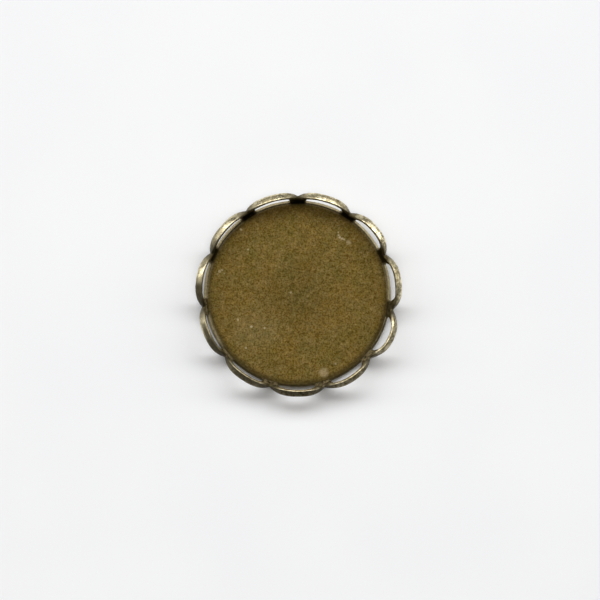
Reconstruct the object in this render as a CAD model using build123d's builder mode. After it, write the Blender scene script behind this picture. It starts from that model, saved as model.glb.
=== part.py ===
from build123d import *
import os
from collections import namedtuple
from math import cos, radians, sin, tan

# An open-edged cup setting for a round flat-backed stone, stamped and drawn from one piece of sheet brass.
# A flat disc carries the stone. A ring of loops stands up round it: each loop is an arch over an open window,
# and shares a leg with the loop on either side. The loops bulge outwards between their legs and are folded in
# at the top, and are pressed in over the stone when it is set.
# +Z is up, out of the open side. The origin is the middle of the disc's back face. One loop is centred on -Y.
# All sizes are in millimetres and degrees.

# Seat for the stone
stone_diameter = 15.0
stone_clearance = 0.4  # on the diameter, between the stone and the feet of the legs
sheet = 0.25  # thickness of the brass
bend_inside = 0.1  # inside radius of the bend from the disc into a leg
rim_turn = 77.0  # how far the disc's rim is turned up into that bend where a window stands over it

# Ring of loops
loop_count = 11
first_loop_angle = -90.0
cup_height = 2.4  # from the back face to the top of a loop
loop_bulge = 0.8  # how far a loop's widest part stands out past the feet
leg_lean = 0.3  # how far a leg's crease leans out by the height of the valleys
leg_width = 1.3  # across a leg at its foot
strip_height = 0.95  # from the top of a window to the top of its loop
top_lean = 55.0  # how far a loop's strip leans in from upright at its top

# Valleys between neighbouring loops
valley_height = 1.35  # from the back face
valley_width = 0.2

# Windows under the arches
window_roundness = 0.83  # rounded share of a window's height above the disc

# How far each loop was bent out, as a share of loop_bulge, counterclockwise from the loop on -Y
loop_spread = (0.92, 0.97, 1.33, 1.15, 1.13, 0.97, 0.95, 1.04, 1.04, 0.94, 0.91)

# Sections of the loops' wall above the bend. height is a share of the wall's height, lean of leg_lean and
# bulge of loop_bulge. thickness is the level width of the wall, in sheets: it is more than one where the wall
# slopes. Above the valleys a leg's crease is cut away, and lean only shapes how the loops' ends turn in.
Section = namedtuple("Section", "height lean bulge thickness")
wall_sections = (
    Section(height=0.0, lean=0.0, bulge=0.02, thickness=1.0),
    Section(height=0.1, lean=0.5, bulge=0.12, thickness=1.15),
    Section(height=0.2, lean=0.8, bulge=0.28, thickness=1.25),
    Section(height=0.3, lean=0.95, bulge=0.48, thickness=1.25),
    Section(height=0.4, lean=1.0, bulge=0.66, thickness=1.2),
    Section(height=0.52, lean=0.95, bulge=0.84, thickness=1.12),
    Section(height=0.64, lean=0.6, bulge=0.96, thickness=1.05),
    Section(height=0.75, lean=0.2, bulge=1.0, thickness=1.0),
    Section(height=0.81, lean=0.0, bulge=0.96, thickness=1.2),
    Section(height=0.86, lean=-0.15, bulge=0.86, thickness=1.55),
    Section(height=1.0, lean=-0.5, bulge=0.35, thickness=1.74),
    Section(height=1.04, lean=-0.6, bulge=0.2, thickness=1.74),
)

# Sizes that follow
seat_radius = (stone_diameter + stone_clearance) / 2
foot_radius = seat_radius + sheet
flat_radius = seat_radius - bend_inside
bend_outside = bend_inside + sheet
bend_top = bend_outside
wall_height = cup_height - bend_top
pitch = 360.0 / loop_count
loop_angles = [first_loop_angle + pitch * i for i in range(loop_count)]
leg_angles = [angle + pitch / 2 for angle in loop_angles]
leg_reach = (foot_radius + leg_lean) * sin(radians(pitch / 2))
window_width = 2 * foot_radius * sin(radians(pitch / 2)) - leg_width
window_top = cup_height - strip_height
window_spring = window_top - window_roundness * (window_top - sheet)
inside_wall = foot_radius + leg_lean * wall_sections[-1].lean - 2 * sheet  # a radius short of all of the wall
cut_start = inside_wall * cos(radians(pitch / 2))  # from here outwards a cutter spans its loop's whole width
top_radius = foot_radius + loop_bulge * wall_sections[-2].bulge  # of the section level with the tops
top_bevel_depth = (top_radius - seat_radius) * tan(radians(top_lean))
beyond = foot_radius  # cutters run this far, past everything


def at(radius, angle):
    """The point of the plan at a radius and an angle."""
    return (radius * cos(radians(angle)), radius * sin(radians(angle)))


def in_bend(radius, turn):
    """The point of the upright half-plane on the bend's arc of a radius, turned up by an angle."""
    return (flat_radius + radius * sin(radians(turn)), bend_top - radius * cos(radians(turn)))


def facing(angle, distance):
    """An upright plane that faces outwards at an angle, with its own +Y up."""
    side = (-sin(radians(angle)), cos(radians(angle)), 0)
    outwards = (cos(radians(angle)), sin(radians(angle)), 0)
    return Plane(origin=(*at(distance, angle), 0), x_dir=side, z_dir=outwards)


def wall_plan(section, inwards):
    """The plan of the wall at one section: an arc for each loop, with a crease at each leg. It is the outer
    face with inwards at 0, and the inner face with inwards at 1."""
    leg = foot_radius + leg_lean * section.lean - inwards * sheet * section.thickness
    with BuildSketch(Plane.XY.offset(bend_top + wall_height * section.height)) as plan:
        with BuildLine():
            for i, angle in enumerate(loop_angles):
                bulge = loop_bulge * section.bulge * loop_spread[i % len(loop_spread)]
                crown = foot_radius + bulge - inwards * sheet * section.thickness
                ThreePointArc(
                    at(leg, angle - pitch / 2),
                    at(crown, angle),
                    at(leg, angle + pitch / 2),
                )
        make_face()
    return plan.sketch


outer_plans = [wall_plan(section, 0) for section in wall_sections]
inner_plans = [wall_plan(section, 1) for section in wall_sections]

with BuildPart() as cup:
    # wall of the loops, as a closed fluted ring
    loft(outer_plans, ruled=True)
    loft(inner_plans, ruled=True, mode=Mode.SUBTRACT)

    # bend that turns the disc up into the wall
    with BuildSketch(Plane.XZ):
        with BuildLine():
            CenterArc((flat_radius, bend_top), bend_outside, start_angle=-90, arc_size=90)
            Line((foot_radius, bend_top), (seat_radius, bend_top))
            CenterArc((flat_radius, bend_top), bend_inside, start_angle=-90, arc_size=90)
            Line((flat_radius, sheet), (flat_radius, 0))
        make_face()
    revolve(axis=Axis.Z)

    # arched tops of the loops
    with BuildSketch(*[facing(angle, cut_start) for angle in loop_angles]):
        with BuildLine():
            ThreePointArc((-leg_reach, valley_height), (0, cup_height), (leg_reach, valley_height))
            Polyline(
                (leg_reach, valley_height),
                (leg_reach, 2 * cup_height),
                (-leg_reach, 2 * cup_height),
                (-leg_reach, valley_height),
            )
        make_face()
    extrude(amount=beyond, mode=Mode.SUBTRACT)

    # bevel inside their tops, which leaves the cut edge square to the strip
    with BuildSketch(Plane.XZ):
        with BuildLine():
            Polyline(
                (top_radius, cup_height),
                (seat_radius, cup_height - top_bevel_depth),
                (seat_radius, 2 * cup_height),
                (top_radius, 2 * cup_height),
                close=True,
            )
        make_face()
    revolve(axis=Axis.Z, mode=Mode.SUBTRACT)

    # rounded valleys between the loops
    with BuildSketch(*[facing(angle, cut_start) for angle in leg_angles]):
        with Locations((0, valley_height + valley_width / 2)):
            Circle(valley_width / 2)
            Rectangle(valley_width, 2 * cup_height, align=(Align.CENTER, Align.MIN))
    extrude(amount=beyond, mode=Mode.SUBTRACT)

    # windows under the arches, through the bend too
    with BuildSketch(*[facing(angle, cut_start) for angle in loop_angles]):
        with BuildLine():
            Polyline(
                (window_width / 2, window_spring),
                (window_width / 2, -sheet),
                (-window_width / 2, -sheet),
                (-window_width / 2, window_spring),
            )
            EllipticalCenterArc(
                (0, window_spring),
                window_width / 2,
                window_top - window_spring,
                arc_size=180,
            )
        make_face()
    extrude(amount=beyond, mode=Mode.SUBTRACT)

    # disc, with the rim that the windows leave of the bend
    with BuildSketch(Plane.XZ):
        with BuildLine():
            Polyline((flat_radius, sheet), (0, sheet), (0, 0), (flat_radius, 0))
            CenterArc((flat_radius, bend_top), bend_outside, start_angle=-90, arc_size=rim_turn)
            Line(in_bend(bend_outside, rim_turn), in_bend(bend_inside, rim_turn))
            CenterArc((flat_radius, bend_top), bend_inside, start_angle=-90, arc_size=rim_turn)
        make_face()
    revolve(axis=Axis.Z)

cup.part.label = "cup_setting"

os.makedirs("parts", exist_ok=True)
export_step(cup.part, "parts/cup_setting.step")
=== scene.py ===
import math
from collections import namedtuple

import bpy
import numpy as np
from mathutils import Matrix, Vector


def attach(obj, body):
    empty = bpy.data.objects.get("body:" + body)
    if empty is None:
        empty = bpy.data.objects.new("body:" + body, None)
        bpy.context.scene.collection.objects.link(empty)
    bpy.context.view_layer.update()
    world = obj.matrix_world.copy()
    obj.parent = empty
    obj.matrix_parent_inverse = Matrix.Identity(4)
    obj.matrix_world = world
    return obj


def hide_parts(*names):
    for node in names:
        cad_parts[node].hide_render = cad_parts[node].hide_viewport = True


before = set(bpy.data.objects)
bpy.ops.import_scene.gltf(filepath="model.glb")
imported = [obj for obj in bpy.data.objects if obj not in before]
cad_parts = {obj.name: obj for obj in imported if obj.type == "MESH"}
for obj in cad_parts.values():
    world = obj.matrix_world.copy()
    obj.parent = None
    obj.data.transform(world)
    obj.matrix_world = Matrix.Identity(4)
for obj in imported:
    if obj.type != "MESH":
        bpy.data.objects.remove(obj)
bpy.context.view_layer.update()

# The cup is worked out in millimetres and radians, and its mesh is scaled to metres when it is made. The
# camera, the light and the paper are in metres.
MM = 0.001

# Sheet, disc and bend, as in the CAD model
SHEET = 0.25
HALF_SHEET = SHEET / 2
FOOT_RADIUS = 7.95  # outer face of a leg at its foot
BEND_OUTSIDE = 0.35  # outside radius of the bend from the disc into a leg
FLAT_RADIUS = FOOT_RADIUS - BEND_OUTSIDE
MIDDLE_FOOT = FOOT_RADIUS - HALF_SHEET  # radius of the middle of the sheet at a leg's foot
MIDDLE_BEND = BEND_OUTSIDE - HALF_SHEET
BEND_LENGTH = MIDDLE_BEND * math.pi / 2
RING_RADIUS = 6.95  # where the disc's own rings of faces begin

# Ring of loops
LOOP_COUNT = 11
FIRST_LOOP = math.radians(-90)
HALF_PITCH = math.pi / LOOP_COUNT
BULGE = 0.8  # how far a loop's widest part stands out past the feet
LEG_LEAN = 0.3  # how far a leg's crease leans out on its way up
LOOP_REACH = 2.32  # half the width of a loop
CREASE_ROUND = 0.15  # softens the crease down a leg and the valley above it
FLARE_START = 1.4  # above 1, a loop leaves the bend upright before it flares out
ARCH_POWER = 3.0  # above 2, the arch of a loop's top is flatter than an arc, with rounder shoulders

# Heights up the sheet, measured along it from the top of the bend
WIDEST = 1.54
SHOULDER_DROP = 0.75  # share by which the widest part comes down towards the legs
FOLD_LENGTH = 0.58  # from the widest part to the top of a loop
FOLD_RADIUS = 0.15  # of the bend above the widest part, in the middle of the sheet
TOP_LEAN = math.radians(55)  # how far a loop's top is folded in from upright
TOP = WIDEST + FOLD_LENGTH
VALLEY = 1.0  # lowest point between two loops
WINDOW_TOP = 0.98  # highest point of a window
RIM = -0.05  # edge of the disc's turned-up rim under a window: it ends within the bend

# Window, as a share of the way from a loop's middle to its leg's crease
WINDOW_TURN = 0.7
CORNER_TURN = 0.09  # width of the rounding at its lower corners
CORNER_RISE = 0.15  # height of that rounding up the sheet, in millimetres

# Rounding of the cut edges
EDGE_ROUND = 0.07
EDGE_STEPS = 4

# Faces along each part of a loop's grid
FLOOR_FACES = 30
CORNER_FACES = 10
LEG_FACES = 10
ARCH_FACES = 48
RINGS = 10
FIRST_RING = 0.15  # share of the way out from a window to the edge of its loop's share of the sheet
LAST_RING = 0.86
DISC_RINGS = 26
SIDE_FACES = CORNER_FACES + LEG_FACES
AROUND = FLOOR_FACES + 2 * SIDE_FACES + ARCH_FACES

# What the material is told about each place: its height up the sheet in millimetres, how near a leg's crease
# is, from 0 to 1, and numbers of its loop and leg from the tables below. Before these come 1 on a cut edge,
# and 1 on the outer face.
SHEET_MARKS = ("climb", "crease", "wear", "even", "edge", "dark")
MARKS = ("cut_edge", "outside") + SHEET_MARKS

# Each loop, counterclockwise from the one on -Y: how far out it was bent, how flat its plan is (above 2 it is
# flatter than an arc, with rounder shoulders), how far its top is folded in, how high the disc's rim is
# turned up under its window, how far the patina is rubbed off its outer face, which is also painted light:
# high on the loops that face the lamp and low, as painted shade, on those facing away, how much less that is
# at its further end, painted shade where that end turns away from the lamp, how evenly it is rubbed, and how
# far its cut edge is rubbed, which is also a painted highlight, strongest where the cut edge faces the lamp
Loop = namedtuple("Loop", "spread flat fold rim wear fade even edge")
LOOPS = (
    Loop(spread=0.91, flat=3.4, fold=1.06, rim=RIM, wear=0.15, fade=0.0, even=0.0, edge=0.9),
    Loop(spread=0.97, flat=2.6, fold=0.85, rim=RIM, wear=0.3, fade=0.0, even=0.0, edge=1.0),
    Loop(spread=1.24, flat=2.4, fold=0.8, rim=RIM, wear=0.5, fade=0.0, even=0.0, edge=1.0),
    Loop(spread=1.04, flat=3.2, fold=0.96, rim=RIM, wear=0.85, fade=0.0, even=0.0, edge=0.5),
    Loop(spread=1.02, flat=2.9, fold=1.1, rim=RIM, wear=0.9, fade=0.0, even=0.0, edge=0.4),
    Loop(spread=0.91, flat=3.4, fold=1.12, rim=RIM, wear=1.0, fade=0.0, even=0.0, edge=0.4),
    Loop(spread=0.88, flat=3.4, fold=1.06, rim=RIM, wear=0.95, fade=0.0, even=0.2, edge=0.4),
    Loop(spread=0.95, flat=3.4, fold=1.09, rim=0.12, wear=0.85, fade=0.45, even=0.65, edge=0.4),
    Loop(spread=0.97, flat=3.4, fold=1.07, rim=0.04, wear=0.85, fade=0.85, even=0.65, edge=0.25),
    Loop(spread=0.94, flat=3.4, fold=1.07, rim=0.02, wear=0.75, fade=0.8, even=0.65, edge=0.2),
    Loop(spread=0.91, flat=3.4, fold=1.04, rim=RIM, wear=0.2, fade=0.0, even=0.4, edge=0.6),
)
OWN_SHARE = 0.3  # up to this share of the way to a leg, a place has its loop's own numbers
END_SHADE_TURNS = (-0.15, 0.25)  # where along a loop its rubbing fades into the painted shade of its further end
END_SHADE_CLIMBS = (0.3, 0.7)  # how high up the sheet it begins to: the rim under the window stays as it is

# The leg after each loop: how many degrees it lies off the even spacing, how far it leans out, and how much
# painted shade its inside has: most in the legs whose insides face away from the lamp, while the lit ones get
# a painted highlight instead
Leg = namedtuple("Leg", "off lean dark")
LEGS = (
    Leg(off=-0.6, lean=0.8, dark=0.3),
    Leg(off=-1.0, lean=0.7, dark=0.35),
    Leg(off=-1.1, lean=0.4, dark=0.7),
    Leg(off=-0.5, lean=0.4, dark=0.9),
    Leg(off=-0.2, lean=0.5, dark=1.0),
    Leg(off=0.0, lean=1.0, dark=1.0),
    Leg(off=-0.5, lean=1.0, dark=1.0),
    Leg(off=-0.4, lean=0.5, dark=0.85),
    Leg(off=-0.4, lean=0.45, dark=0.5),
    Leg(off=-0.3, lean=0.5, dark=0.4),
    Leg(off=-0.6, lean=0.8, dark=0.3),
)
LEG_TURN = 0.7  # from this share of the way on, it has its leg's own numbers

# Rubbed places on the disc: where each lies, its radius, and how far its patina is gone
Fleck = namedtuple("Fleck", "x y radius shine")
FLECKS = (
    Fleck(x=-3.6, y=-3.1, radius=2.6, shine=0.08),
    Fleck(x=3.43, y=5.2, radius=0.13, shine=0.7),
    Fleck(x=3.48, y=4.98, radius=0.13, shine=0.8),
    Fleck(x=3.57, y=4.78, radius=0.15, shine=0.9),
    Fleck(x=3.75, y=4.68, radius=0.14, shine=0.9),
    Fleck(x=3.94, y=4.61, radius=0.13, shine=0.8),
    Fleck(x=4.32, y=4.35, radius=0.3, shine=0.5),
    Fleck(x=2.22, y=-6.66, radius=0.55, shine=0.5),
    Fleck(x=-3.91, y=-2.78, radius=0.16, shine=1.0),
    Fleck(x=-2.8, y=-2.89, radius=0.14, shine=0.7),
    Fleck(x=-5.06, y=-2.19, radius=0.14, shine=0.7),
    Fleck(x=-4.38, y=-4.58, radius=0.15, shine=0.7),
    Fleck(x=3.22, y=-5.94, radius=0.13, shine=0.6),
    Fleck(x=-4.79, y=5.45, radius=0.15, shine=0.8),
    Fleck(x=-4.19, y=3.76, radius=0.13, shine=0.6),
    Fleck(x=-0.59, y=0.12, radius=0.13, shine=0.6),
    Fleck(x=-6.61, y=1.9, radius=0.18, shine=0.7),
    Fleck(x=-6.4, y=2.02, radius=0.14, shine=0.6),
    Fleck(x=-6.76, y=1.68, radius=0.13, shine=0.5),
    Fleck(x=-6.2, y=1.72, radius=0.12, shine=0.4),
)
FLECK_CORE = 0.35  # share of a fleck's radius within which it has its full shine


def smooth_step(value, low, high):
    """0 below low, 1 above high, with a smooth rise between."""
    share = np.clip((value - low) / (high - low), 0, 1)
    return share * share * (3 - 2 * share)


def unit(vectors):
    """Each row at length 1."""
    return vectors / np.linalg.norm(vectors, axis=1, keepdims=True)


def along_loop(turn):
    """0 at a loop's middle and about 1 at its legs' creases, rounded off close to them."""
    return np.abs(1 - np.hypot(1 - np.abs(turn), CREASE_ROUND / LOOP_REACH))


def of_loop(loop, turn, column):
    """A loop's own number in its middle, and the mean with its neighbour's at the crease between them."""
    own = getattr(LOOPS[loop], column)
    after = (own + getattr(LOOPS[(loop + 1) % LOOP_COUNT], column)) / 2
    before = (own + getattr(LOOPS[loop - 1], column)) / 2
    shared = np.where(turn > 0, after, before)
    return own + (shared - own) * smooth_step(np.abs(turn), OWN_SHARE, 1.0)


def of_legs(loop, turn, column):
    """The number of the leg on either side of a loop, and their mean in its middle."""
    after = getattr(LEGS[loop], column)
    before = getattr(LEGS[loop - 1], column)
    return before + (after - before) * smooth_step(turn, -LEG_TURN, LEG_TURN)


def sheet_points(loop, turn, climb):
    """Places on the middle of the sheet. turn runs from -1 at one leg's crease to 1 at the next one's. climb
    is the distance along the sheet from the top of the bend, and negative in the bend and the disc."""
    # disc and bend
    past_flat = climb + BEND_LENGTH
    bend = np.clip(past_flat / MIDDLE_BEND, 0, math.pi / 2)
    bend_radius = FLAT_RADIUS + MIDDLE_BEND * np.sin(bend) + np.minimum(past_flat, 0)
    bend_height = HALF_SHEET + MIDDLE_BEND * (1 - np.cos(bend))

    # wall, which flares out to its widest part and is folded in above it
    along = along_loop(turn)
    shoulder = along**ARCH_POWER
    widest = WIDEST * (1 - SHOULDER_DROP * shoulder)
    lean_in = TOP_LEAN * of_loop(loop, turn, "fold") * (1 - shoulder)
    above = np.clip(climb - widest, 0, None)
    folded = np.minimum(above / FOLD_RADIUS, lean_in)
    straight = above - FOLD_RADIUS * folded
    flare = np.sin(np.clip(climb / widest, 0, 1) * math.pi / 2) ** FLARE_START
    lean = np.sin(np.clip(climb / VALLEY, 0, 1) * math.pi / 2)
    leg = LEG_LEAN * of_legs(loop, turn, "lean") * lean
    crown = BULGE * of_loop(loop, turn, "spread") * flare
    stands_out = leg + (crown - leg) * (1 - along ** LOOPS[loop].flat)
    fold_in = FOLD_RADIUS * (1 - np.cos(folded)) + straight * np.sin(folded)
    fold_up = FOLD_RADIUS * np.sin(folded) + straight * np.cos(folded)
    radius = np.where(climb > 0, MIDDLE_FOOT + stands_out - fold_in, bend_radius)
    height = bend_height + np.clip(climb, 0, widest) + fold_up

    # the disc inside the loops is round, so a leg's place off the even spacing fades out towards it
    off = np.radians(of_legs(loop, turn, "off")) * smooth_step(past_flat, RING_RADIUS - FLAT_RADIUS, 0)
    angle = FIRST_LOOP + HALF_PITCH * (2 * loop + turn) + off
    return np.stack([radius * np.cos(angle), radius * np.sin(angle), height], axis=-1)


def steps(count):
    """Equal steps from 0 to just short of 1."""
    return np.arange(count) / count


def window_outline(rim):
    """turn and climb round a window, from its lower left corner along the disc's rim, up and over."""
    straight = WINDOW_TURN - CORNER_TURN
    spring = rim + CORNER_RISE
    floor = straight * (2 * steps(FLOOR_FACES) - 1)
    corner = steps(CORNER_FACES) * math.pi / 2
    back = math.pi / 2 - corner
    arch = steps(2 * LEG_FACES + ARCH_FACES) * math.pi
    turn = [
        floor,
        straight + CORNER_TURN * np.sin(corner),
        WINDOW_TURN * np.cos(arch),
        -straight - CORNER_TURN * np.sin(back),
    ]
    climb = [
        np.full(FLOOR_FACES, rim),
        spring - CORNER_RISE * np.cos(corner),
        spring + (WINDOW_TOP - spring) * np.sin(arch),
        spring - CORNER_RISE * np.cos(back),
    ]
    return np.concatenate(turn), np.concatenate(climb)


def top_edge(turn):
    """Height up the sheet of a loop's arched top."""
    return TOP - (TOP - VALLEY) * along_loop(turn) ** ARCH_POWER


def sector_outline():
    """turn and climb round a loop's whole share of the sheet, in step with its window's outline."""
    floor_climb = RING_RADIUS - FLAT_RADIUS - BEND_LENGTH
    valley = top_edge(np.array(1.0))
    side = floor_climb + (valley - floor_climb) * steps(SIDE_FACES)
    side_back = valley + (floor_climb - valley) * steps(SIDE_FACES)
    top = 1 - 2 * steps(ARCH_FACES)
    turn = [2 * steps(FLOOR_FACES) - 1, np.ones(SIDE_FACES), top, -np.ones(SIDE_FACES)]
    climb = [np.full(FLOOR_FACES, floor_climb), side, top_edge(top), side_back]
    return np.concatenate(turn), np.concatenate(climb)


def loop_marks(loop, turn, climb):
    """The SHEET_MARKS of places on a loop."""
    end_shading = LOOPS[loop].fade * smooth_step(turn, *END_SHADE_TURNS) * smooth_step(climb, *END_SHADE_CLIMBS)
    wear = of_loop(loop, turn, "wear") * (1 - end_shading)
    even = of_loop(loop, turn, "even")
    edge = of_loop(loop, turn, "edge")
    return np.stack([climb, np.abs(turn), wear, even, edge, of_legs(loop, turn, "dark")], axis=-1)


def disc_marks(radius, count):
    """The SHEET_MARKS of places on the disc inside the loops."""
    marks = np.zeros((count, len(SHEET_MARKS)))
    marks[:, SHEET_MARKS.index("climb")] = radius - FLAT_RADIUS - BEND_LENGTH
    return marks


def loop_grid(loop):
    """Places on a loop, in rings from its window to the edge of its share of the sheet, and their marks."""
    inner_turn, inner_climb = window_outline(LOOPS[loop].rim)
    outer_turn, outer_climb = sector_outline()
    share = np.concatenate([[0], np.linspace(FIRST_RING, LAST_RING, RINGS - 1), [1]])[:, None]
    turn = inner_turn + share * (outer_turn - inner_turn)
    climb = inner_climb + share * (outer_climb - inner_climb)
    places = sheet_points(loop, turn, climb)
    marks = loop_marks(loop, turn, climb)
    return places.reshape(-1, 3), marks.reshape(-1, len(SHEET_MARKS))


def place_numbers():
    """The number of each place by its loop, its ring and its step round the ring. Neighbouring loops share
    the places down the crease between them."""
    number = np.arange(LOOP_COUNT * (RINGS + 1) * AROUND).reshape(LOOP_COUNT, RINGS + 1, AROUND)
    crease = np.arange(SIDE_FACES + 1)
    for loop in range(LOOP_COUNT):
        following = number[(loop + 1) % LOOP_COUNT, RINGS]
        number[loop, RINGS, FLOOR_FACES + crease] = following[(AROUND - crease) % AROUND]
    return number


def disc_sheet(rim, total):
    """The disc inside the loops, ring by ring from its rim's places to its middle: its own places, which are
    numbered from total on, their marks, its faces, and those round its middle place."""
    count = len(rim)
    angle = FIRST_LOOP + HALF_PITCH * (2 * np.arange(count) / FLOOR_FACES - 1)
    places = []
    marks = []
    faces = []
    ring = rim
    for step in range(1, DISC_RINGS):
        radius = RING_RADIUS * (1 - step / DISC_RINGS)
        ring_places = [radius * np.cos(angle), radius * np.sin(angle), np.full(count, HALF_SHEET)]
        places.append(np.stack(ring_places, axis=-1))
        marks.append(disc_marks(radius, count))
        next_ring = total + np.arange(count)
        faces.append(np.stack([ring, np.roll(ring, -1), np.roll(next_ring, -1), next_ring], axis=-1))
        ring = next_ring
        total += count
    places.append(np.array([[0, 0, HALF_SHEET]]))
    marks.append(disc_marks(0, 1))
    middle_faces = np.stack([ring, np.roll(ring, -1), np.full(count, total)], axis=-1)
    return places, marks, faces, middle_faces


def middle_sheet():
    """The middle of the whole sheet: its places, their marks, its faces seen from inside the cup, and the
    closed rings of places round each window and round the loops' tops."""
    number = place_numbers()
    following = np.roll(number, -1, axis=2)
    corners = [number[:, :-1], following[:, :-1], following[:, 1:], number[:, 1:]]
    loop_faces = np.stack(corners, axis=-1).reshape(-1, 4)
    grids = [loop_grid(loop) for loop in range(LOOP_COUNT)]
    rim = number[:, RINGS, :FLOOR_FACES].reshape(-1)
    disc_places, marks_on_disc, disc_faces, middle_faces = disc_sheet(rim, number.size)
    places = np.concatenate([grid_places for grid_places, _ in grids] + disc_places)
    marks = np.concatenate([grid_marks for _, grid_marks in grids] + marks_on_disc)
    faces = np.concatenate([loop_faces] + disc_faces)

    windows = [number[loop, 0] for loop in range(LOOP_COUNT)]
    top = FLOOR_FACES + SIDE_FACES + ARCH_FACES - np.arange(ARCH_FACES)
    tops = [number[:, RINGS, top].reshape(-1)]
    return places, marks, faces, middle_faces, windows + tops


def sheet_normals(places, faces, middle_faces):
    """The direction square to the sheet at each place, towards the inside of the cup."""
    normals = np.zeros_like(places)
    first_diagonal = places[faces[:, 2]] - places[faces[:, 0]]
    second_diagonal = places[faces[:, 3]] - places[faces[:, 1]]
    square = np.cross(first_diagonal, second_diagonal)
    for corner in range(4):
        np.add.at(normals, faces[:, corner], square)
    normals[middle_faces[:, 2]] = (0, 0, 1)
    unused = np.linalg.norm(normals, axis=1) == 0
    normals[unused] = (0, 0, 1)
    return unit(normals)


def edge_profile():
    """The rounded profile of a cut edge, from the inner face to the outer one: steps out and up from the
    middle of the sheet's edge."""
    corner = np.linspace(0, math.pi / 2, EDGE_STEPS + 1)
    out = EDGE_ROUND * (np.concatenate([np.sin(corner), np.cos(corner)]) - 1)
    up = HALF_SHEET + EDGE_ROUND * (np.cos(corner) - 1)
    return out, np.concatenate([up, -up[::-1]])


def edge_lines(middle, normals, ring):
    """Lines of places along a rounded cut edge, one after another from the inner face to the outer one."""
    normal = normals[ring]
    along = middle[np.roll(ring, -1)] - middle[np.roll(ring, 1)]
    away = unit(np.cross(along, normal))
    return [middle[ring] + out * away + up * normal for out, up in zip(*edge_profile())]


def cup_shell():
    """Both sides of the sheet and its rounded cut edges: places, faces and a row of MARKS for each place."""
    middle, middle_marks, faces, middle_faces, rings = middle_sheet()
    normals = sheet_normals(middle, faces, middle_faces)
    inside = middle + HALF_SHEET * normals
    outside = middle - HALF_SHEET * normals
    count = len(middle)
    nothing = np.zeros((count, 1))
    places = [inside, outside]
    marks = [np.hstack([nothing, nothing, middle_marks]), np.hstack([nothing, nothing + 1, middle_marks])]
    all_faces = [faces, faces[:, ::-1] + count, middle_faces, middle_faces[:, ::-1] + count]

    # the first and last line of each cut edge are the edges of the two sides, moved in to meet it
    total = 2 * count
    for ring in rings:
        lines = edge_lines(middle, normals, ring)
        inside[ring] = lines[0]
        outside[ring] = lines[-1]
        numbers = [ring]
        for step, line in enumerate(lines[1:-1], start=1):
            share_outside = np.full((len(ring), 1), step / (len(lines) - 1))
            places.append(line)
            marks.append(np.hstack([np.ones((len(ring), 1)), share_outside, middle_marks[ring]]))
            numbers.append(total + np.arange(len(ring)))
            total += len(ring)
        numbers.append(ring + count)
        for upper, lower in zip(numbers, numbers[1:]):
            all_faces.append(np.stack([np.roll(upper, -1), upper, lower, np.roll(lower, -1)], axis=-1))
    return np.concatenate(places), all_faces, np.concatenate(marks)


def make_cup():
    """The cup as one mesh object, with its marks as attributes for the material."""
    places, face_groups, marks = cup_shell()

    # where two loops share a crease, no face uses one of its two rows of places
    used = np.zeros(len(places), bool)
    for group in face_groups:
        used[group.reshape(-1)] = True
    renumber = np.cumsum(used) - 1
    faces = [face for group in face_groups for face in renumber[group].tolist()]

    mesh = bpy.data.meshes.new("cup")
    mesh.from_pydata((places[used] * MM).tolist(), [], faces)
    for column, name in enumerate(MARKS):
        attribute = mesh.attributes.new(name, "FLOAT", "POINT")
        attribute.data.foreach_set("value", marks[used, column].astype(np.float32))
    mesh.shade_smooth()
    mesh.update()
    cup = bpy.data.objects.new("cup", mesh)
    bpy.context.collection.objects.link(cup)
    return cup


# Noises of the brass, from the largest spots to the finest. The scale is in spots to the millimetre. The
# octaves of a noise form a star round its own origin, so the offset moves that off the cup, in millimetres.
Noise = namedtuple("Noise", "scale detail roughness offset")
NOISES = {
    "clouds": Noise(scale=0.45, detail=2.0, roughness=0.5, offset=30.0),
    "tint": Noise(scale=0.75, detail=2.0, roughness=0.5, offset=40.0),
    "blotches": Noise(scale=1.6, detail=4.0, roughness=0.65, offset=30.0),
    "mottle": Noise(scale=3.4, detail=3.0, roughness=0.65, offset=30.0),
    "grain": Noise(scale=7.0, detail=3.0, roughness=0.75, offset=30.0),
}
STREAKS = Noise(scale=1.0, detail=4.0, roughness=0.7, offset=30.0)
STREAK_STRETCH = (2.6, 2.6, 0.9)  # spots to the millimetre: the streaks run up, across the strip
STREAK_SHARE = 0.6  # of the streaks in the patches of bright metal, where the rest is mottle

# Changes of the looks. Each follows one mark or noise, its field: over the span it goes from the first of its
# ends to the second. The climb's spans are in millimetres.
Change = namedtuple("Change", "field span ends", defaults=((0.0, 1.0),))

# Patina
OLIVE_CLOUDS = Change("clouds", span=(0.35, 0.65))
PALE_BLOTCHES = Change("blotches", span=(0.35, 0.7))
MOTTLING = Change("mottle", span=(0.25, 0.75), ends=(0.75, 1.25))
GRAINING = Change("grain", span=(0.3, 0.7))
TINTING = Change("tint", span=(0.35, 0.65))
DARKER_MIDDLE = Change("climb", span=(-7.3, -3.8), ends=(0.87, 1.07))
DARKER_RING = Change("climb", span=(-2.2, -0.9), ends=(1.0, 0.95))
OUTER_SHARE = 0.8  # of the outer faces' own patina

# Where the patina is black, and where it is thin. Inside the legs the black is painted shade, and the thin,
# pale patina on the rim and in the lit legs is a painted highlight
# The bend's black patina is weaker under loops with a high rubbing number, which is partly painted light
BLACK_BEND = (
    Change("climb", span=(-0.85, -0.3)),
    Change("wear", span=(0.7, 1.0), ends=(0.75, 0.3)),
)
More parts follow.
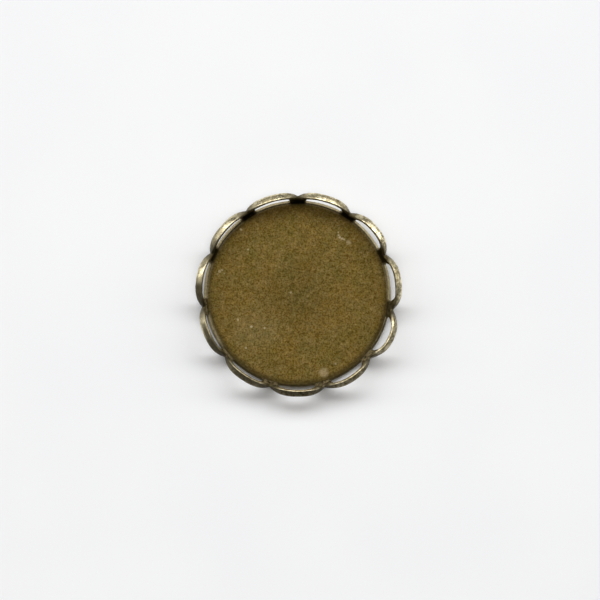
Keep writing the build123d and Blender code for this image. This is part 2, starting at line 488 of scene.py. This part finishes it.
# Painted shade: black inside the legs, as much as each leg's painted shade number gives
LEG_BLACK_AND_SHADE = (
    Change("climb", span=(-0.8, -0.15)),
    Change("climb", span=(1.5, 0.7)),
    Change("crease", span=(0.5, 0.8)),
)
BLACK_VALLEY = (
    Change("crease", span=(0.8, 1.0), ends=(0.0, 0.75)),
    Change("climb", span=(0.1, 0.5)),
)
BLACK_BLOTCHES = Change("blotches", span=(0.2, 0.55), ends=(0.75, 1.0))
# Painted highlight: the turned-up rim is pale under the loops that face the lamp
RIM_HIGHLIGHT = (
    Change("climb", span=(-0.5, -0.1)),
    Change("climb", span=(0.5, 0.3)),
    Change("crease", span=(0.8, 0.6)),
    Change("wear", span=(0.5, 0.9)),
)
# Painted highlight: pale specks inside the legs that face the lamp
LEG_HIGHLIGHT = (
    Change("climb", span=(-0.15, 0.15)),
    Change("climb", span=(0.8, 0.5)),
    Change("crease", span=(0.6, 0.8)),
    Change("dark", span=(0.85, 0.4)),
    Change("mottle", span=(0.35, 0.55)),
)
HIGHLIGHT_GRAIN = Change("grain", span=(0.3, 0.65), ends=(0.35, 1.0))

# Where the metal is bare, on outer faces and on cut edges, by the loops' rubbing numbers, which are partly
# painted
# light: more on the loops and edges that face the lamp. Of an edge low on the sheet only the outer half is
# bare, unless the loop is well rubbed, so the largest of the three sides counts.
BARE_FACE = (
    Change("climb", span=(0.3, 1.0)),
    Change("crease", span=(0.4, 0.95), ends=(1.0, 0.1)),
)
BARE_PATCHES = Change("patches", span=(0.36, 0.6), ends=(0.48, 1.2))
BARE_EDGE = (
    Change("blotches", span=(0.25, 0.6), ends=(0.4, 1.0)),
    Change("climb", span=(0.0, 0.9), ends=(0.45, 1.0)),
    Change("crease", span=(0.55, 0.9), ends=(1.0, 0.1)),
)
BARE_SIDES = (
    Change("outside", span=(0.35, 0.7)),
    Change("climb", span=(0.0, 0.2)),
    Change("wear", span=(0.35, 0.75)),
)
BRIGHT_PATCHES = Change("patches", span=(0.38, 0.62))
EVEN_TONE = 0.6  # of metal that is rubbed evenly, from dull to bright
FLECK_GRAIN = Change("grain", span=(0.25, 0.6), ends=(0.4, 1.0))

# Colours
BROWN = (0.153, 0.104, 0.023, 1)
OLIVE = (0.135, 0.101, 0.022, 1)
PALE_BROWN = (0.187, 0.132, 0.038, 1)
GRAIN_TONES = ((0.53, 0.44, 0.1, 1), (1.47, 1.56, 2.1, 1))  # stronger in blue, of which the browns have least
TINTS = ((1.02, 0.985, 0.92, 1), (0.99, 1.0, 1.03, 1))
OUTER_PATINA = (0.085, 0.068, 0.036, 1)
# Black patina, and painted shade inside the legs
BLACK_AND_SHADE = (0.022, 0.018, 0.008, 1)
# Thinner patina and painted highlight
PALE_PATINA_HIGHLIGHT = (0.42, 0.36, 0.22, 1)
FLECK_COLOUR = (0.47, 0.39, 0.23, 1)
DULL_METAL = (0.48, 0.4, 0.21, 1)
BRIGHT_METAL = (0.9, 0.81, 0.56, 1)

# How the surface catches the light
PATINA_ROUGHNESS = 0.6
METAL_ROUGHNESS = 0.3
ROUGHNESS_GRAIN = Change("grain", span=(0.3, 0.7), ends=(-0.06, 0.06))
GRAIN_HEIGHT = 0.6  # shares of the bump's depth
PATCH_HEIGHT = 0.5
BUMP_DEPTH = 0.014 * MM
BUMP_STRENGTH = 0.7

# Sockets of nodes that are taken by number
OBJECT_PLACE = 3
ATTRIBUTE_FACTOR = 2
DISTANCE = 1
MIX_SHARE = 0
MIX_FIRST = 6
MIX_SECOND = 7
MIX_RESULT = 2


class NodeMaker:
    """Adds nodes to a material's tree and hands back their output sockets. Its fields are the marks and
    noises that the material is made from, by name."""

    def __init__(self, material):
        self.tree = material.node_tree
        self.tree.nodes.clear()
        self.fields = {}

    def add(self, kind, inputs=None, output=0, **settings):
        """A node with its settings, and with each input linked or set."""
        node = self.tree.nodes.new(kind)
        for name, value in settings.items():
            setattr(node, name, value)
        for name, value in (inputs or {}).items():
            if isinstance(value, bpy.types.NodeSocket):
                self.tree.links.new(value, node.inputs[name])
            else:
                node.inputs[name].default_value = value
        return node.outputs[output] if node.outputs else None

    def math(self, operation, first, second, clamp=False):
        return self.add("ShaderNodeMath", {0: first, 1: second}, operation=operation, use_clamp=clamp)

    def vector_math(self, operation, first, second, output=0):
        return self.add("ShaderNodeVectorMath", {0: first, 1: second}, output, operation=operation)

    def product(self, first, *others):
        for other in others:
            first = self.math("MULTIPLY", first, other)
        return first

    def largest(self, first, *others):
        for other in others:
            first = self.math("MAXIMUM", first, other)
        return first

    def remap(self, value, span, ends, shape="SMOOTHSTEP"):
        """The first of the ends before the span, the second past it, and a smooth change between."""
        low, high = span
        first, second = ends
        inputs = {"Value": value, "From Min": low, "From Max": high, "To Min": first, "To Max": second}
        return self.add("ShaderNodeMapRange", inputs, interpolation_type=shape)

    def between(self, share, first, second):
        """The first number at share 0, the second at share 1."""
        return self.remap(share, (0.0, 1.0), (first, second), shape="LINEAR")

    def change(self, change):
        """A Change of its field."""
        return self.remap(self.fields[change.field], change.span, change.ends)

    def changes(self, changes):
        """All the changes multiplied."""
        return self.product(*map(self.change, changes))

    def mix(self, share, first, second, blend="MIX"):
        """The first colour at share 0, the second at share 1."""
        inputs = {MIX_SHARE: share, MIX_FIRST: first, MIX_SECOND: second}
        return self.add("ShaderNodeMix", inputs, MIX_RESULT, data_type="RGBA", blend_type=blend)

    def tone(self, colour, factor):
        """A colour multiplied by another one or by a number."""
        return self.mix(1.0, colour, factor, "MULTIPLY")

    def noise(self, place, noise):
        moved = self.vector_math("ADD", place, (noise.offset, noise.offset, noise.offset))
        inputs = {"Vector": moved, "Scale": noise.scale, "Detail": noise.detail, "Roughness": noise.roughness}
        return self.add("ShaderNodeTexNoise", inputs)


def patina_colour(make):
    """Brown and olive clouds under a fine grain, a little darker in the disc's middle and at its edge."""
    clouds = make.mix(make.change(OLIVE_CLOUDS), BROWN, OLIVE)
    patina = make.mix(make.change(PALE_BLOTCHES), clouds, PALE_BROWN)
    patina = make.tone(patina, make.change(MOTTLING))
    patina = make.tone(patina, make.mix(make.change(GRAINING), *GRAIN_TONES))
    patina = make.tone(patina, make.mix(make.change(TINTING), *TINTS))
    patina = make.tone(patina, make.change(DARKER_MIDDLE))
    patina = make.tone(patina, make.change(DARKER_RING))
    return make.mix(make.product(make.fields["outside"], OUTER_SHARE), patina, OUTER_PATINA)


def black_patina_and_shade(make):
    """How black the patina is: all round in the bend, inside the legs, where it is painted shade that is
    strongest in the legs facing away from the lamp, and in the valleys above them.
    """
    leg = make.product(make.changes(LEG_BLACK_AND_SHADE), make.fields["inside"], make.fields["dark"])
    black = make.largest(make.changes(BLACK_BEND), leg, make.changes(BLACK_VALLEY))
    return make.product(black, make.change(BLACK_BLOTCHES))


def thinning_and_highlights(make):
    """How thin the patina is and how much highlight is painted: on the turned-up rim in the windows, more
    under the loops that face the lamp, and inside the lit legs, those with little painted shade.
    """
    leg = make.product(make.changes(LEG_HIGHLIGHT), make.fields["inside"])
    return make.product(make.largest(make.changes(RIM_HIGHLIGHT), leg), make.change(HIGHLIGHT_GRAIN))


def bare_metal(make):
    """How far the metal is bare, on the outer faces of the loops and on the cut edges, more where they face
    the lamp: partly painted light.
    """
    patches = make.between(make.fields["even"], make.change(BARE_PATCHES), 1.0)
    face = make.product(make.changes(BARE_FACE), make.fields["outside"], make.fields["wear"], patches)
    side = make.largest(*map(make.change, BARE_SIDES))
    edge = make.product(make.changes(BARE_EDGE), make.fields["cut_edge"], make.fields["edge"], side)
    return make.math("MAXIMUM", face, edge, clamp=True)


def metal_colour(make):
    """Dull and bright metal in patches, and one tone between them where it is rubbed evenly."""
    tone = make.between(make.fields["even"], make.change(BRIGHT_PATCHES), EVEN_TONE)
    return make.mix(tone, DULL_METAL, BRIGHT_METAL)


def fleck_shine(make, place):
    """How far the patina is gone at the flecks, the scratch and the smudges on the disc."""
    plan_place = make.vector_math("MULTIPLY", place, (1, 1, 0))
    shine = 0.0
    for fleck in FLECKS:
        distance = make.vector_math("DISTANCE", plan_place, (fleck.x, fleck.y, 0), DISTANCE)
        spot = make.remap(distance, (fleck.radius, FLECK_CORE * fleck.radius), (0.0, fleck.shine))
        shine = make.largest(shine, spot)
    return make.product(shine, make.change(FLECK_GRAIN), make.fields["inside"])


def brass_colour(make, place, bare):
    """The patina with its painted shade and highlights, the bare metal and the flecks, one over the other."""
    colour = make.mix(black_patina_and_shade(make), patina_colour(make), BLACK_AND_SHADE)
    colour = make.mix(thinning_and_highlights(make), colour, PALE_PATINA_HIGHLIGHT)
    colour = make.mix(bare, colour, metal_colour(make))
    return make.mix(fleck_shine(make, place), colour, FLECK_COLOUR)


def brass_bump(make):
    """Small heights of the grain and of the patches."""
    grain = make.product(make.fields["grain"], GRAIN_HEIGHT)
    patches = make.product(make.fields["patches"], PATCH_HEIGHT)
    height = make.math("ADD", grain, patches)
    return make.add("ShaderNodeBump", {"Height": height, "Distance": BUMP_DEPTH, "Strength": BUMP_STRENGTH})


def add_brass_fields(make, place):
    """The marks on the mesh and the noises, by name."""
    for name in MARKS:
        make.fields[name] = make.add("ShaderNodeAttribute", output=ATTRIBUTE_FACTOR, attribute_name=name)
    make.fields["inside"] = make.math("SUBTRACT", 1.0, make.fields["outside"])
    for name, noise in NOISES.items():
        make.fields[name] = make.noise(place, noise)
    stretched = make.add("ShaderNodeMapping", {"Vector": place, "Scale": STREAK_STRETCH})
    streaks = make.product(make.noise(stretched, STREAKS), STREAK_SHARE)
    mottle = make.product(make.fields["mottle"], 1 - STREAK_SHARE)
    make.fields["patches"] = make.math("ADD", streaks, mottle)


def new_material(name):
    material = bpy.data.materials.new(name)
    material.use_nodes = True
    return material


def finish_material(make, settings):
    shader = make.add("ShaderNodeBsdfPrincipled", settings)
    make.add("ShaderNodeOutputMaterial", {"Surface": shader})


def antiqued_brass():
    """Brass under a matt brown and olive patina, black in the corners, with painted shade inside the legs
    that face away from the lamp, and rubbed bright on the loops, with painted light brighter on those that
    face it.
    """
    material = new_material("antiqued_brass_worn_and_painted_light")
    make = NodeMaker(material)
    object_place = make.add("ShaderNodeTexCoord", output=OBJECT_PLACE)
    place = make.add("ShaderNodeVectorMath", {0: object_place, "Scale": 1 / MM}, operation="SCALE")
    add_brass_fields(make, place)
    bare = bare_metal(make)
    roughness = make.remap(bare, (0.0, 1.0), (PATINA_ROUGHNESS, METAL_ROUGHNESS))
    settings = {
        "Base Color": brass_colour(make, place, bare),
        "Metallic": 1.0,
        "Roughness": make.math("ADD", roughness, make.change(ROUGHNESS_GRAIN)),
        "Normal": brass_bump(make),
    }
    finish_material(make, settings)
    return material


# Paper under the cup
PAPER_SIZE = 3.0
PAPER_HEIGHT = -0.1 * MM  # the cup's back bears on the sheet's highest fibres
PAPER_FIBRES = Noise(scale=60.0, detail=2.0, roughness=0.5, offset=30.0)  # in metres
PAPER_TONES = Change("fibres", span=(0.3, 0.7))
PAPER_COLOURS = ((0.87, 0.885, 0.91, 1), (0.89, 0.905, 0.925, 1))
PAPER_ROUGHNESS = 0.9
PAPER_SHINE = 0.1


def pale_paper():
    """Plain pale paper."""
    material = new_material("pale_paper")
    make = NodeMaker(material)
    place = make.add("ShaderNodeTexCoord", output=OBJECT_PLACE)
    make.fields["fibres"] = make.noise(place, PAPER_FIBRES)
    settings = {
        "Base Color": make.mix(make.change(PAPER_TONES), *PAPER_COLOURS),
        "Roughness": PAPER_ROUGHNESS,
        "Specular IOR Level": PAPER_SHINE,
    }
    finish_material(make, settings)
    return material


# Camera: nearly straight down, with the photograph's field of 600 by 600 dots at 300 to the inch
FIELD = 50.8 * MM
CAMERA_DISTANCE = 0.6
CLIP_START = CAMERA_DISTANCE / 100
SENSOR = 36.0
CAMERA_AIM = Vector((0.205, -0.525, 0.25)) * MM
CAMERA_TILT_X = math.radians(-2.2)  # towards -X
CAMERA_TILT_Y = math.radians(0.9)  # towards +Y


def make_camera():
    data = bpy.data.cameras.new("camera")
    data.sensor_width = SENSOR
    data.lens = SENSOR * CAMERA_DISTANCE / FIELD
    data.clip_start = CLIP_START
    camera = bpy.data.objects.new("camera", data)
    bpy.context.collection.objects.link(camera)
    back = Vector((math.tan(CAMERA_TILT_X), math.tan(CAMERA_TILT_Y), 1)).normalized()
    right = Vector((0, 1, 0)).cross(back).normalized()
    camera.location = CAMERA_AIM + back * CAMERA_DISTANCE
    camera.rotation_mode = "QUATERNION"
    camera.rotation_quaternion = Matrix((right, back.cross(right), back)).transposed().to_quaternion()
    bpy.context.scene.camera = camera


# Light: one long soft strip above the +Y side, a weak fill from straight above and a pale surrounding
Lamp = namedtuple("Lamp", "colour length width power distance angle")
STRIP_LIGHT = Lamp(
    colour=(1.0, 1.0, 1.0), length=6.0, width=0.38, power=41.5, distance=1.0, angle=math.radians(38)
)
FILL_LIGHT = Lamp(colour=(1.0, 0.93, 0.84), length=0.6, width=0.6, power=2.3, distance=1.2, angle=0)
SURROUND_COLOUR = (1.0, 0.93, 0.82, 1)
SURROUND = 0.05


def make_lamp(name, lamp):
    """An area light that faces the cup from its angle away from straight above, towards +Y."""
    data = bpy.data.lights.new(name, "AREA")
    data.shape = "RECTANGLE"
    data.size = lamp.length
    data.size_y = lamp.width
    data.energy = lamp.power
    data.color = lamp.colour
    light = bpy.data.objects.new(name, data)
    bpy.context.collection.objects.link(light)
    light.location = Vector((0, math.sin(lamp.angle), math.cos(lamp.angle))) * lamp.distance
    light.rotation_euler = (-lamp.angle, 0, 0)


def make_surround():
    world = bpy.data.worlds.new("surround")
    world.use_nodes = True
    background = world.node_tree.nodes["Background"]
    background.inputs["Color"].default_value = SURROUND_COLOUR
    background.inputs["Strength"].default_value = SURROUND
    bpy.context.scene.world = world


def make_paper():
    half = PAPER_SIZE / 2
    mesh = bpy.data.meshes.new("paper_sheet")
    corners = [(x, y, PAPER_HEIGHT) for x, y in ((-half, -half), (half, -half), (half, half), (-half, half))]
    mesh.from_pydata(corners, [], [(0, 1, 2, 3)])
    mesh.materials.append(pale_paper())
    sheet = bpy.data.objects.new("paper_sheet", mesh)
    bpy.context.collection.objects.link(sheet)


make_camera()
make_lamp("strip_light", STRIP_LIGHT)
make_lamp("fill_light", FILL_LIGHT)
make_surround()
make_paper()
bpy.context.scene.view_settings.view_transform = "Standard"

cup = make_cup()
cup.data.materials.append(antiqued_brass())
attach(cup, "root")
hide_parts("cup_setting")
